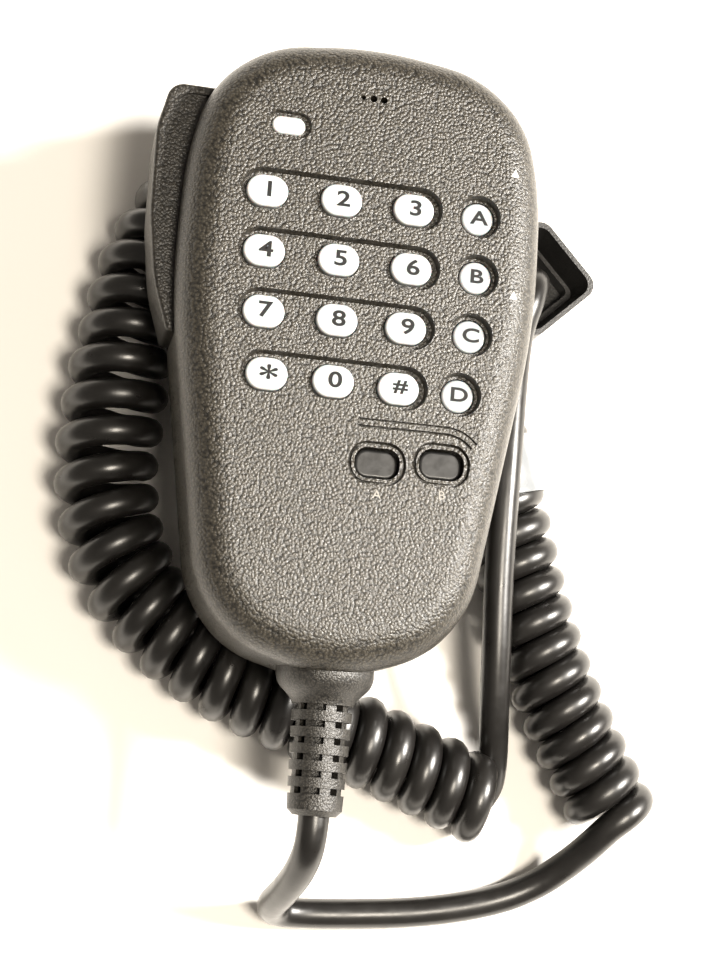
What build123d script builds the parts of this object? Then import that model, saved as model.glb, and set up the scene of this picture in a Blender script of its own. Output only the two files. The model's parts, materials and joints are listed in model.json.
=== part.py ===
"""Hand microphone for a mobile radio: a keypad handset with a side key on a coiled cord.

Frame, in millimetres: the origin is on the case's back, at the centre of the hang-up button's
neck. +X is to the right as seen from the front, +Y runs towards the head and +Z out of the face.
The handset lies face up on its own coiled cord, whose underside is at FLOOR_Z.
"""
import os
from math import pi, radians, tan

from build123d import *

# ---- case ----
# Corners of the right half of the outline, from the head round to the tail. Arcs take up the
# whole of every corner, so they stand out a little from the case.
OUTLINE_CORNERS = [
    (0, 44.5), (18.5, 42.0), (28.0, 34.0), (31.0, 21.5), (31.5, -2.0), (23.5, -52.0),
    (16.0, -61.0), (0, -65.5),
]
HEAD_Y = 44.0
TAIL_Y = -64.4
BACK_Z = 0.0
SPLIT_Z = 14.0
FACE_Z = 27.0
WALL = 2.0
FACE_T = 3.0
CEILING_Z = FACE_Z - FACE_T
FACE_ROUND = 6.5
BACK_ROUND = 5.0
INNER_ROUND = 3.6
CASE_SCREWS = [(-18.6, 34.2), (19.4, 33.6), (-15.6, -50.5), (15.6, -50.5)]
CASE_BOSS_R = 2.7
CASE_SCREW_R = 1.0
CASE_HEAD_R = 2.2

# ---- keypad: rows from the head down, the x of each row's three digits and of its letter ----
ROW_Y = [14.75, 4.35, -6.05, -16.55]
DIGIT_X = [(-17.4, -4.7, 7.8), (-17.1, -4.4, 8.1), (-16.3, -3.9, 7.9), (-14.9, -3.7, 7.4)]
LETTER_X = [19.1, 19.4, 19.0, 17.7]
DIGIT_NAMES = [("key_1", "key_2", "key_3"), ("key_4", "key_5", "key_6"),
               ("key_7", "key_8", "key_9"), ("key_star", "key_0", "key_hash")]
LETTER_NAMES = ["key_a", "key_b", "key_c", "key_d"]
DIGIT_W, DIGIT_H = 7.1, 5.5
LETTER_R = 2.8
KEY_GAP = 0.2
KEY_TOP_Z = 26.3
LETTER_TOP_Z = 25.7
KEY_FLANGE = 0.6
KEY_FLANGE_T = 1.3
KEY_STEM_R = 2.0
KEY_STEM_END_Z = 19.0
RECESS_DEPTH = 1.6
RECESS_H = 7.6
LETTER_RECESS_R = 3.8
RECESS_TAPER = 12

# ---- two function buttons under the keypad ----
BUTTONS = {"button_a": (4.6, -29.7), "button_b": (15.5, -28.8)}
BUTTON_W, BUTTON_H, BUTTON_R = 7.2, 4.7, 2.0
BUTTON_GAP = 0.25
BUTTON_TOP_Z = 26.0
MOAT_W, MOAT_H, MOAT_R = 9.8, 7.3, 3.4
RIM_W, RIM_H, RIM_R = 8.7, 6.2, 2.8
MOAT_DEPTH = 1.0

# ---- window, sound holes and accent rib ----
LENS_AT = (-14.8, 26.5)
LENS_W, LENS_H, LENS_R = 5.7, 3.1, 1.5
WINDOW_W, WINDOW_H, WINDOW_R = 7.7, 4.6, 2.2
SOUND_HOLES = [(-2.5, 33.1, 0.4), (-0.7, 33.1, 0.6), (1.1, 33.1, 0.6)]
ACCENT_START, ACCENT_BEND, ACCENT_END = (0.9, -23.1), (15.8, -23.0), (20.8, -25.2)
ACCENT_SLOT_W, ACCENT_RIB_W = 1.6, 0.8
ACCENT_DEPTH = 0.9

# ---- board and what stands on it ----
BOARD_Z = 16.4
BOARD_T = 1.6
BOARD_TOP_Z = BOARD_Z + BOARD_T
BOARD_INSET = 3.7
BOARD_SCREWS = [(-8.6, 24.4), (12.4, 24.6), (-14.5, -26.0), (10.5, -40.0)]
BOARD_BOSS_R = 2.1
BOARD_SCREW_R = 0.8
MAT_LOW_Z, MAT_T = 19.6, 1.2
MAT_LIP = 1.2

# ---- microphone element ----
CAPSULE_AT = (-0.7, 33.1)
CAPSULE_R, CAPSULE_H = 4.85, 5.6
CAPSULE_BOOT_R = 6.1
CAPSULE_LOW_Z = 17.2
FELT_T = 0.8

# ---- side key (press to talk), hinged at its tail end ----
PTT_PIN = (-27.0, -6.0)
PTT_PIN_R = 1.0
PTT_RUN_GAP = 0.05
PTT_LOW_Z, PTT_HIGH_Z = 4.6, 18.6
PTT_GAP = 0.4
PTT_TOP_Y = 34.5
PTT_INNER_X = -25.2
# Corners of the lever's outline and the radius of each.
PTT_CORNERS = [
    ((PTT_INNER_X, -8.6), 1.0), ((PTT_INNER_X, PTT_TOP_Y), 1.0), ((-34.6, PTT_TOP_Y), 3.0),
    ((-36.5, 26.0), 12.0), ((-36.2, 11.0), 30.0), ((-34.6, -0.5), 30.0), ((-31.6, -9.3), 0.9),
    ((-29.6, -9.3), 2.0),
]
PTT_RIM = 1.6
PTT_TEXTURE_DEPTH = 0.9
PTT_SWITCH_Y = 21.0
PTT_SWITCH_Z = 12.4

# ---- slide switches on the right wall and keys on the head ----
SLIDER_Y = {"lock_slider": 20.5, "lamp_slider": -1.0}
SLIDER_TRAVEL = 2.0
SLIDER_L, SLIDER_H = 6.0, 3.0
SLIDER_PROUD_X = 31.9
HEAD_KEY_X = {"up_button": 9.0, "down_button": -9.0}
HEAD_KEY_W, HEAD_KEY_H = 8.0, 4.0
HEAD_KEY_Z = 11.6
HEAD_KEY_Y = 44.0
HEAD_KEY_GAP = 0.25

# ---- hang-up button on the back ----
HANGER_R, HANGER_T = 5.5, 2.2
HANGER_FACE_Z = -6.0
HANGER_NECK_R = 3.2

# ---- strain relief ----
RELIEF_X, RELIEF_Z = 0.8, 14.0
RELIEF_BELL_R = 8.3
RELIEF_NECK_R = 4.2
RELIEF_ROOT_Y = -64.0
RELIEF_BELL_END_Y = -69.4
RELIEF_END_Y = -87.8
RELIEF_ROWS = 6
RELIEF_PITCH = 2.75
RELIEF_SLOT = 1.1
RELIEF_WINDOWS = 8
RELIEF_R_ROOT, RELIEF_R_END = 5.2, 4.65

# ---- cord ----
CORD_R = 2.7
COIL_R = 8.15
FLOOR_Z = -16.6
COIL_Z = FLOOR_Z + COIL_R
LEAD_Z = FLOOR_Z + CORD_R
COIL_ROUTE = [
    (59.2, -81.9), (49.6, -66.4), (42.2, -49.5), (36.4, -30.9), (31.4, -15.4), (24.6, -3.0),
    (17.6, 9.0), (10.4, 21.6), (-1.5, 29.6), (-16.5, 29.8), (-28.4, 22.6), (-34.4, 9.6),
    (-36.7, -5.0), (-38.3, -20.5), (-38.2, -34.0), (-34.4, -46.6), (-26.2, -56.6),
    (-13.6, -65.0), (1.6, -70.4), (18.4, -76.4), (37.6, -84.2),
]
LEAD_ROUTE = [
    (RELIEF_X, RELIEF_END_Y, RELIEF_Z), (RELIEF_X, -92.2, RELIEF_Z), (0.2, -97.0, 8.6),
    (-1.0, -101.0, 0.6), (-2.1, -103.8, -7.4), (-0.6, -105.2, -12.4), (4.4, -105.4, LEAD_Z),
    (12.4, -105.0, LEAD_Z), (26.4, -103.9, LEAD_Z), (39.6, -101.2, LEAD_Z),
    (48.2, -97.0, -12.6), (53.6, -92.2, -9.4), (57.4, -87.2, -5.4), (61.0, -83.2, -3.0),
    (65.0, -79.8, -6.2),
]
TAIL_ROUTE = [
    (37.0, -81.2, -12.2), (36.4, -77.0, -8.8), (35.6, -70.4, -4.6), (34.5, -62.4, -1.4),
    (33.7, -53.6, 0.8), (33.1, -43.8, 1.9), (32.8, -33.0, 3.1), (32.8, -22.6, 3.7),
    (33.1, -12.8, 3.0), (33.5, -4.4, 2.2), (34.0, 3.0, 2.2), (35.9, 9.2, 2.7),
    (37.75, 14.0, -1.2), (37.75, 14.0, -7.0),
]
BAND_AT = (34.1, -23.4)
BAND_L = 10.4
BAND_GAP, BAND_T = 0.35, 0.35

# ---- plug ----
PLUG_AT = (37.75, 14.0)
PLUG_TURN = 44.0
BOOT_SIDE, BOOT_R = 17.2, 2.8
BOOT_LOW_Z, BOOT_RIM_Z = -13.4, -1.4
BOOT_RIM_T = 0.9
BOOT_LEDGE_Z, BOOT_LEDGE_INSET = -8.6, 1.9
BOOT_FLOOR_Z = -11.4
BOOT_RIDGE_W, BOOT_RIDGE_H = 1.1, 0.8
BOOT_COLLAR_R = 3.2
MODULAR_W, MODULAR_H = 9.7, 6.6

os.makedirs("parts", exist_ok=True)


def save(builder, label):
    """Label the finished part and write it to its own STEP file."""
    builder.part.label = label
    export_step(builder.part, f"parts/{label}.step")


def arc_radius(before, here, after, share):
    """Radius of the arc at a corner that takes up this share of its shorter run."""
    turn = radians((here - before).get_angle(after - here))
    run = min((here - before).length, (after - here).length)
    return share * run / tan(turn / 2)


def case_outline(inset):
    """Face inside the case's outline, drawn in by inset."""
    left = [(-x, y) for x, y in OUTLINE_CORNERS[-2:0:-1]]
    corners = [Vector(x, y) for x, y in OUTLINE_CORNERS + left]
    around = zip(corners[-1:] + corners[:-1], corners, corners[1:] + corners[:1])
    radii = [arc_radius(*trio, share=0.48) for trio in around]
    with BuildSketch() as outline:
        with BuildLine():
            FilletPolyline(*corners, radius=radii, close=True)
        make_face()
        if inset:
            offset(amount=-inset)
    return outline.sketch


def case_block(inset, low, high, rounding, face_end):
    """Solid with the case's outline, rounded at its face end or at its back end."""
    outline = case_outline(inset)
    with BuildPart() as block:
        with BuildSketch(Plane.XY.offset(low)):
            add(outline)
        extrude(amount=high - low)
        fillet(block.faces().sort_by(Axis.Z)[-1 if face_end else 0].edges(), rounding)
    return block.part


def tube(points, radius, name):
    """Round tube along straight runs joined by tangent arcs."""
    stops = [Vector(*p) for p in points]
    radii = [arc_radius(*trio, share=0.45) for trio in zip(stops, stops[1:], stops[2:])]
    with BuildPart() as body:
        with BuildLine() as path:
            FilletPolyline(*points, radius=radii)
        with BuildSketch(Plane(origin=path.line @ 0, z_dir=path.line % 0)):
            Circle(radius)
        sweep()
    length = path.wires()[0].length
    expected = length * pi * radius ** 2
    print(name, "length", round(length, 1), "volume ratio", round(body.part.volume / expected, 4),
          "radii", [round(r, 1) for r in radii])
    return body.part


front_block = case_block(0, SPLIT_Z, FACE_Z, FACE_ROUND, True)
front_hollow = case_block(WALL, SPLIT_Z, CEILING_Z, INNER_ROUND, True)
rear_block = case_block(0, BACK_Z, SPLIT_Z, BACK_ROUND, False)
rear_hollow = case_block(WALL, BACK_Z + WALL, SPLIT_Z, INNER_ROUND, False)
board_outline = case_outline(BOARD_INSET)

# The side key's opening, cut from both covers.
with BuildPart() as ptt_opening:
    with BuildSketch(Plane.XY.offset(PTT_LOW_Z - PTT_GAP)):
        with BuildLine():
            Polyline((-40, PTT_TOP_Y + 0.9), (-22.2, PTT_TOP_Y + 0.9), (-24.4, -2.0), (-24.4, -9.8),
                     (-40, -9.8), close=True)
        make_face()
    extrude(amount=PTT_HIGH_Z - PTT_LOW_Z + 2 * PTT_GAP)

# Openings on the split line: two slots in the right wall and the hole for the strain relief.
with BuildPart() as edge_openings:
    for slot_y in SLIDER_Y.values():
        with Locations((30, slot_y, SPLIT_Z)):
            Box(8, SLIDER_L + SLIDER_TRAVEL + 0.6, SLIDER_H + 0.6)
    with BuildSketch(Plane.XZ.offset(-TAIL_Y - 3)):
        with Locations((RELIEF_X, RELIEF_Z)):
            Circle(RELIEF_NECK_R)
    extrude(amount=6)

# ---------------------------------------------------------------- covers
with BuildPart() as front_cover:
    add(front_block)
    add(front_hollow, mode=Mode.SUBTRACT)
    with BuildSketch(Plane.XY.offset(SPLIT_Z)):
        with Locations(*CASE_SCREWS):
            Circle(CASE_BOSS_R)
    extrude(amount=CEILING_Z - SPLIT_Z + 0.4)
    with BuildSketch(Plane.XY.offset(BOARD_TOP_Z)):
        with Locations(*BOARD_SCREWS):
            Circle(BOARD_BOSS_R)
    extrude(amount=CEILING_Z - BOARD_TOP_Z + 0.4)
    with BuildSketch(Plane.XY.offset(PTT_HIGH_Z + PTT_GAP)):
        with Locations(PTT_PIN):
            Circle(2.3)
    extrude(amount=CEILING_Z - PTT_HIGH_Z - PTT_GAP - 1.5)
    with BuildSketch(Plane.XY.offset(FACE_Z)):
        for row_y, digits, letter_x in zip(ROW_Y, DIGIT_X, LETTER_X):
            with Locations(((digits[0] + digits[-1]) / 2 + 0.2, row_y)):
                SlotOverall(digits[-1] - digits[0] + DIGIT_W + 2.3, RECESS_H)
            with Locations((letter_x, row_y)):
                Circle(LETTER_RECESS_R)
    extrude(amount=-RECESS_DEPTH, taper=RECESS_TAPER, mode=Mode.SUBTRACT)
    with BuildSketch(Plane.XY.offset(FACE_Z)):
        with Locations(LENS_AT):
            RectangleRounded(WINDOW_W, WINDOW_H, WINDOW_R)
    extrude(amount=-0.9, taper=RECESS_TAPER, mode=Mode.SUBTRACT)
    with BuildSketch(Plane.XY.offset(FACE_Z)):
        with Locations(*BUTTONS.values()):
            RectangleRounded(MOAT_W, MOAT_H, MOAT_R)
    extrude(amount=-MOAT_DEPTH, taper=RECESS_TAPER, mode=Mode.SUBTRACT)
    with BuildSketch(Plane.XY.offset(FACE_Z - MOAT_DEPTH)):
        with Locations(*BUTTONS.values()):
            RectangleRounded(RIM_W, RIM_H, RIM_R)
    extrude(amount=MOAT_DEPTH - 0.1)
    with BuildSketch(Plane.XY.offset(CEILING_Z - 1)):
        for row_y, digits, letter_x in zip(ROW_Y, DIGIT_X, LETTER_X):
            with Locations(*[(x, row_y) for x in digits]):
                SlotOverall(DIGIT_W + 2 * KEY_GAP, DIGIT_H + 2 * KEY_GAP)
            with Locations((letter_x, row_y)):
                Circle(LETTER_R + KEY_GAP)
        with Locations(LENS_AT):
            RectangleRounded(LENS_W, LENS_H, LENS_R)
        with Locations(*BUTTONS.values()):
            RectangleRounded(BUTTON_W + 2 * BUTTON_GAP, BUTTON_H + 2 * BUTTON_GAP, BUTTON_R + BUTTON_GAP)
        for hole_x, hole_y, hole_r in SOUND_HOLES:
            with Locations((hole_x, hole_y)):
                Circle(hole_r)
    extrude(amount=FACE_T + 2, mode=Mode.SUBTRACT)
    with BuildSketch(Plane.XY.offset(FACE_Z)):
        with BuildLine():
            accent_run = Line(ACCENT_START, ACCENT_BEND)
            TangentArc(ACCENT_BEND, ACCENT_END, tangent=accent_run % 1)
        trace(line_width=ACCENT_SLOT_W)
    extrude(amount=-ACCENT_DEPTH, mode=Mode.SUBTRACT)
    with BuildSketch(Plane.XY.offset(FACE_Z - ACCENT_DEPTH)):
        with BuildLine():
            accent_run = Line(ACCENT_START, ACCENT_BEND)
            TangentArc(ACCENT_BEND, ACCENT_END, tangent=accent_run % 1)
        trace(line_width=ACCENT_RIB_W)
    extrude(amount=ACCENT_DEPTH + 0.15)
    with BuildSketch(Plane.XY.offset(SPLIT_Z)):
        with Locations(*CASE_SCREWS):
            Circle(CASE_SCREW_R)
    extrude(amount=8, mode=Mode.SUBTRACT)
    with BuildSketch(Plane.XY.offset(BOARD_TOP_Z)):
        with Locations(*BOARD_SCREWS):
            Circle(BOARD_SCREW_R)
    extrude(amount=4.5, mode=Mode.SUBTRACT)
    with BuildSketch(Plane.XY.offset(PTT_HIGH_Z)):
        with Locations(PTT_PIN):
            Circle(PTT_PIN_R)
    extrude(amount=3.0, mode=Mode.SUBTRACT)
    add(ptt_opening.part, mode=Mode.SUBTRACT)
    add(edge_openings.part, mode=Mode.SUBTRACT)
save(front_cover, "front_cover")

with BuildPart() as rear_cover:
    add(rear_block)
    add(rear_hollow, mode=Mode.SUBTRACT)
    with BuildSketch(Plane.XY.offset(BACK_Z + 1)):
        with Locations(*CASE_SCREWS):
            Circle(CASE_BOSS_R + 0.6)
    extrude(amount=SPLIT_Z - BACK_Z - 1)
    with BuildSketch(Plane.XY.offset(BACK_Z + 1)):
        Circle(6.0)
    extrude(amount=5)
    with BuildSketch(Plane.XY.offset(BACK_Z + 1.5)):
        with Locations(PTT_PIN):
            Circle(2.3)
    extrude(amount=PTT_LOW_Z - PTT_GAP - BACK_Z - 1.5)
    with BuildSketch(Plane.XY.offset(BACK_Z)):
        with Locations(*CASE_SCREWS):
            Circle(CASE_SCREW_R + 0.3)
    extrude(amount=SPLIT_Z - BACK_Z, mode=Mode.SUBTRACT)
    with BuildSketch(Plane.XY.offset(BACK_Z)):
        with Locations(*CASE_SCREWS):
            Circle(CASE_HEAD_R + 0.2)
    extrude(amount=4, mode=Mode.SUBTRACT)
    with BuildSketch(Plane.XY.offset(BACK_Z)):
        Circle(1.5)
    extrude(amount=7, mode=Mode.SUBTRACT)
    with BuildSketch(Plane.XY.offset(BACK_Z)):
        with Locations((0, -32)):
            RectangleRounded(26, 19, 1.5)
    extrude(amount=0.4, mode=Mode.SUBTRACT)
    with BuildSketch(Plane.XY.offset(PTT_LOW_Z - PTT_GAP)):
        with Locations(PTT_PIN):
            Circle(PTT_PIN_R)
    extrude(amount=-2.0, mode=Mode.SUBTRACT)
    for key_x in HEAD_KEY_X.values():
        with Locations((key_x, HEAD_Y - 2, (SPLIT_Z + HEAD_KEY_Z - HEAD_KEY_H / 2 - HEAD_KEY_GAP) / 2)):
            Box(HEAD_KEY_W + 2 * HEAD_KEY_GAP, 8,
                SPLIT_Z - HEAD_KEY_Z + HEAD_KEY_H / 2 + HEAD_KEY_GAP, mode=Mode.SUBTRACT)
    add(ptt_opening.part, mode=Mode.SUBTRACT)
    add(edge_openings.part, mode=Mode.SUBTRACT)
save(rear_cover, "rear_cover")

# ---------------------------------------------------------------- keypad
def key_head_sketch(half_width, height, grow=0.0):
    """Sketch of a key: a short stadium, or a circle where the width equals the height."""
    if half_width * 2 > height:
        SlotOverall(half_width * 2 + 2 * grow, height + 2 * grow)
    else:
        Circle(half_width + grow)


def make_key(label, key_x, key_y, half_width, height, top_z):
    """One key: a crowned head, a flange under the cover and a stem towards the board."""
    with BuildPart() as key:
        with BuildSketch(Plane.XY.offset(CEILING_Z - 0.3)):
            with Locations((key_x, key_y)):
                key_head_sketch(half_width, height)
        extrude(amount=top_z - CEILING_Z + 0.3)
        fillet(key.faces().sort_by(Axis.Z)[-1].edges(), 0.45)
        with BuildSketch(Plane.XY.offset(CEILING_Z - 0.3)):
            with Locations((key_x, key_y)):
                key_head_sketch(half_width, height, KEY_FLANGE)
        extrude(amount=-KEY_FLANGE_T)
        with BuildSketch(Plane.XY.offset(KEY_STEM_END_Z)):
            with Locations((key_x, key_y)):
                Circle(KEY_STEM_R)
        extrude(amount=CEILING_Z - KEY_STEM_END_Z - 1)
    save(key, label)


for row_y, digits, names in zip(ROW_Y, DIGIT_X, DIGIT_NAMES):
    for digit_x, name in zip(digits, names):
        make_key(name, digit_x, row_y, DIGIT_W / 2, DIGIT_H, KEY_TOP_Z)
for row_y, letter_x, name in zip(ROW_Y, LETTER_X, LETTER_NAMES):
    make_key(name, letter_x, row_y, LETTER_R, 2 * LETTER_R, LETTER_TOP_Z)

for name, (button_x, button_y) in BUTTONS.items():
    with BuildPart() as button:
        with BuildSketch(Plane.XY.offset(CEILING_Z - 0.3)):
            with Locations((button_x, button_y)):
                RectangleRounded(BUTTON_W, BUTTON_H, BUTTON_R)
        extrude(amount=BUTTON_TOP_Z - CEILING_Z + 0.3)
        fillet(button.faces().sort_by(Axis.Z)[-1].edges(), 0.5)
        with BuildSketch(Plane.XY.offset(CEILING_Z - 0.3)):
            with Locations((button_x, button_y)):
                RectangleRounded(BUTTON_W + 1.4, BUTTON_H + 1.4, BUTTON_R)
        extrude(amount=-KEY_FLANGE_T)
        with BuildSketch(Plane.XY.offset(KEY_STEM_END_Z)):
            with Locations((button_x, button_y)):
                Circle(KEY_STEM_R)
        extrude(amount=CEILING_Z - KEY_STEM_END_Z - 1)
    save(button, name)

# A rubber sheet under the keys, with a hole for every stem and a lip that stands on the board.
STEMS = [(x, y) for y, digits in zip(ROW_Y, DIGIT_X) for x in digits]
STEMS += list(zip(LETTER_X, ROW_Y)) + list(BUTTONS.values())
with BuildPart() as keypad_mat:
    with BuildSketch(Plane.XY.offset(MAT_LOW_Z)) as mat_outline:
        with Locations((0.4, -1.0)):
            RectangleRounded(45, 41, 3)
        with Locations((10.0, -28.0)):
            RectangleRounded(22, 14, 3)
    extrude(amount=MAT_T)
    with BuildSketch(Plane.XY.offset(BOARD_TOP_Z)):
        add(mat_outline.sketch.moved(Location((0, 0, -MAT_LOW_Z))))
        offset(amount=-MAT_LIP, mode=Mode.SUBTRACT)
    extrude(amount=MAT_LOW_Z - BOARD_TOP_Z)
    with BuildSketch(Plane.XY.offset(MAT_LOW_Z)):
        with Locations(*STEMS):
            Circle(KEY_STEM_R + 0.4)
    extrude(amount=MAT_T, mode=Mode.SUBTRACT)
save(keypad_mat, "keypad_mat")

# ---------------------------------------------------------------- board
with BuildPart() as main_board:
    with BuildSketch(Plane.XY.offset(BOARD_Z)):
        add(board_outline)
        with Locations((-32, 12.5)):
            Rectangle(21, 51, mode=Mode.SUBTRACT)
        with Locations((0, -66)):
            Rectangle(60, 26, mode=Mode.SUBTRACT)
        with Locations(*CASE_SCREWS):
            Circle(CASE_BOSS_R + 0.9, mode=Mode.SUBTRACT)
        with Locations(CAPSULE_AT):
            Circle(CAPSULE_BOOT_R + 0.4, mode=Mode.SUBTRACT)
        with Locations(*BOARD_SCREWS):
            Circle(BOARD_SCREW_R + 0.2, mode=Mode.SUBTRACT)
    extrude(amount=BOARD_T)
save(main_board, "main_board")

with BuildPart() as board_screws:
    with BuildSketch(Plane.XY.offset(BOARD_Z)):
        with Locations(*BOARD_SCREWS):
            Circle(1.6)
    extrude(amount=-1.2)
    with BuildSketch(Plane.XY.offset(BOARD_Z)):
        with Locations(*BOARD_SCREWS):
            Circle(BOARD_SCREW_R)
    extrude(amount=5.4)
save(board_screws, "board_screws")

with BuildPart() as case_screws:
    with BuildSketch(Plane.XY.offset(BACK_Z + 2.2)):
        with Locations(*CASE_SCREWS):
            Circle(CASE_HEAD_R)
    extrude(amount=1.8)
    with BuildSketch(Plane.XY.offset(BACK_Z + 4)):
        with Locations(*CASE_SCREWS):
            Circle(CASE_SCREW_R)
    extrude(amount=SPLIT_Z - BACK_Z + 2.5)
    for cross_size in ((2.6, 0.6), (0.6, 2.6)):
        with BuildSketch(Plane.XY.offset(BACK_Z + 2.2)):
            with Locations(*CASE_SCREWS):
                Rectangle(*cross_size)
        extrude(amount=1.1, mode=Mode.SUBTRACT)
save(case_screws, "case_screws")


def box_group(label, places, size, low):
    """Identical small blocks that stand on one level, saved as one group."""
    with BuildPart() as group:
        for place in places:
            with Locations((place[0], place[1], low)):
                Box(*size, align=(Align.CENTER, Align.CENTER, Align.MIN))
    save(group, label)


box_group("backlight_leds", [(x, y) for y in (9.6, -11.3) for x in (-10.8, 1.8, 13.6)],
          (2.0, 1.2, 0.8), BOARD_TOP_Z)
box_group("tone_chip", [(0, -10)], (10, 7.5, 2.2), BOARD_Z - 2.2)
box_group("crystal", [(12, -12)], (4.6, 9.5, 3.4), BOARD_Z - 3.4)
box_group("capacitors", [(-12, 2), (-12, -7), (-12, -16), (10, 2)], (3.2, 3.2, 3.8), BOARD_Z - 3.8)
box_group("resistors", [(x, 9) for x in (-4, -1, 2, 5)] + [(x, -20) for x in (-4, -1, 2, 5)],
          (1.6, 3.2, 0.6), BOARD_Z - 0.6)
box_group("status_led", [LENS_AT], (3.0, 2.0, 2.2), BOARD_TOP_Z)
box_group("head_switches", [(x, 34.7) for x in HEAD_KEY_X.values()], (6.0, 3.6, 6.0), BOARD_Z - 6.0)

# Wall-side switches under the board, each with a groove for its slider's tongue.
with BuildPart() as slide_switches:
    for slot_y in SLIDER_Y.values():
        with Locations((23.6, slot_y, BOARD_Z)):
            Box(5.2, 10, 5.2, align=(Align.CENTER, Align.CENTER, Align.MAX))
        with Locations((25.2, slot_y, SPLIT_Z)):
            Box(2.4, SLIDER_TRAVEL + 3.0, 2.4, mode=Mode.SUBTRACT)
save(slide_switches, "slide_switches")

for name, slot_y in SLIDER_Y.items():
    with BuildPart() as slider:
        rest_y = slot_y - SLIDER_TRAVEL / 2
        with Locations((27.4, rest_y, SPLIT_Z)):
            Box(SLIDER_PROUD_X - 27.4, SLIDER_L, SLIDER_H, align=(Align.MIN, Align.CENTER, Align.CENTER))
        with GridLocations(0, 1.4, 1, 4):
            with Locations((SLIDER_PROUD_X, rest_y, SPLIT_Z)):
                Box(0.7, 0.5, SLIDER_H, mode=Mode.SUBTRACT)
        with Locations((26.3, rest_y, SPLIT_Z)):
            Box(1.3, SLIDER_L + 4.0, SLIDER_H + 1.6, align=(Align.MIN, Align.CENTER, Align.CENTER))
        with Locations((24.6, rest_y, SPLIT_Z)):
            Box(2.1, 1.6, 1.6, align=(Align.MIN, Align.CENTER, Align.CENTER))
    save(slider, name)

for name, key_x in HEAD_KEY_X.items():
    with BuildPart() as head_key:
        with Locations((key_x, HEAD_KEY_Y, HEAD_KEY_Z)):
            Box(HEAD_KEY_W, 4.6, HEAD_KEY_H, align=(Align.CENTER, Align.MAX, Align.CENTER))
        fillet(head_key.faces().sort_by(Axis.Y)[-1].edges(), 0.7)
        with Locations((key_x, HEAD_KEY_Y - 4.5, HEAD_KEY_Z)):
            Box(HEAD_KEY_W + 2, 1.4, HEAD_KEY_H + 1.0, align=(Align.CENTER, Align.MAX, Align.CENTER))
        with Locations((key_x, HEAD_KEY_Y - 5.8, HEAD_KEY_Z)):
            Box(2, 0.9, 2, align=(Align.CENTER, Align.MAX, Align.CENTER))
    save(head_key, name)

# ---------------------------------------------------------------- window and microphone element
with BuildPart() as status_lens:
    with BuildSketch(Plane.XY.offset(FACE_Z - 0.5)):
        with Locations(LENS_AT):
            RectangleRounded(LENS_W, LENS_H, LENS_R)
    extrude(amount=-3.0)
    fillet(status_lens.faces().sort_by(Axis.Z)[-1].edges(), 0.4)
    with BuildSketch(Plane.XY.offset(CEILING_Z)):
        with Locations(LENS_AT):
            RectangleRounded(LENS_W + 1.6, LENS_H + 1.6, LENS_R + 0.8)
    extrude(amount=-0.8)
save(status_lens, "status_lens")

with BuildPart() as mic_felt:
    with BuildSketch(Plane.XY.offset(CEILING_Z)):
        with Locations(CAPSULE_AT):
            Circle(CAPSULE_BOOT_R - 0.6)
    extrude(amount=-FELT_T)
save(mic_felt, "mic_felt")

with BuildPart() as mic_capsule:
    with BuildSketch(Plane.XY.offset(CAPSULE_LOW_Z)):
        with Locations(CAPSULE_AT):
            Circle(CAPSULE_R)
    extrude(amount=CAPSULE_H)
    with BuildSketch(Plane.XY.offset(CAPSULE_LOW_Z + CAPSULE_H)):
        with Locations(CAPSULE_AT):
            Circle(1.0)
    extrude(amount=-0.6, mode=Mode.SUBTRACT)
save(mic_capsule, "mic_capsule")

with BuildPart() as mic_boot:
    with BuildSketch(Plane.XY.offset(CAPSULE_LOW_Z)):
        with Locations(CAPSULE_AT):
            Circle(CAPSULE_BOOT_R)
            Circle(CAPSULE_R, mode=Mode.SUBTRACT)
    extrude(amount=CEILING_Z - FELT_T - CAPSULE_LOW_Z)
save(mic_boot, "mic_boot")

# ---------------------------------------------------------------- side key
with BuildPart() as ptt_lever:
    with BuildSketch(Plane.XY.offset(PTT_LOW_Z)) as ptt_profile:
        with BuildLine():
            FilletPolyline(*[corner for corner, _ in PTT_CORNERS],
                           radius=[radius for _, radius in PTT_CORNERS], close=True)
        make_face()
    extrude(amount=PTT_HIGH_Z - PTT_LOW_Z)
    fillet(ptt_lever.faces().filter_by(Axis.Z).edges(), 0.7)
    with BuildSketch(Plane.XY.offset(PTT_HIGH_Z)):
        add(ptt_profile.sketch.moved(Location((PTT_RIM, -PTT_RIM, -PTT_LOW_Z))))
    extrude(amount=-PTT_TEXTURE_DEPTH, mode=Mode.SUBTRACT)
    for pocket_y in (9.5, 29.0):
        with Locations((-34.0, pocket_y, (PTT_LOW_Z + PTT_HIGH_Z) / 2)):
            Box(12, 7.5, 9.4, align=(Align.MIN, Align.CENTER, Align.CENTER), mode=Mode.SUBTRACT)
    with BuildSketch(Plane.XY.offset(10.4)):
        with Locations(PTT_PIN):
            Circle(2.5)
        with Locations((-24.8, -4)):
            Rectangle(2.8, 12)
    extrude(amount=3.2, mode=Mode.SUBTRACT)
    with BuildSketch(Plane.XY.offset(PTT_LOW_Z - 1)):
        with Locations(PTT_PIN):
            Circle(PTT_PIN_R + PTT_RUN_GAP)
    extrude(amount=PTT_HIGH_Z - PTT_LOW_Z + 2, mode=Mode.SUBTRACT)
save(ptt_lever, "ptt_lever")

with BuildPart() as ptt_pin:
    with BuildSketch(Plane.XY.offset(PTT_LOW_Z - PTT_GAP - 2.0)):
        with Locations(PTT_PIN):
            Circle(PTT_PIN_R)
    extrude(amount=PTT_HIGH_Z - PTT_LOW_Z + 2 * PTT_GAP + 4.2)
save(ptt_pin, "ptt_pin")

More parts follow.
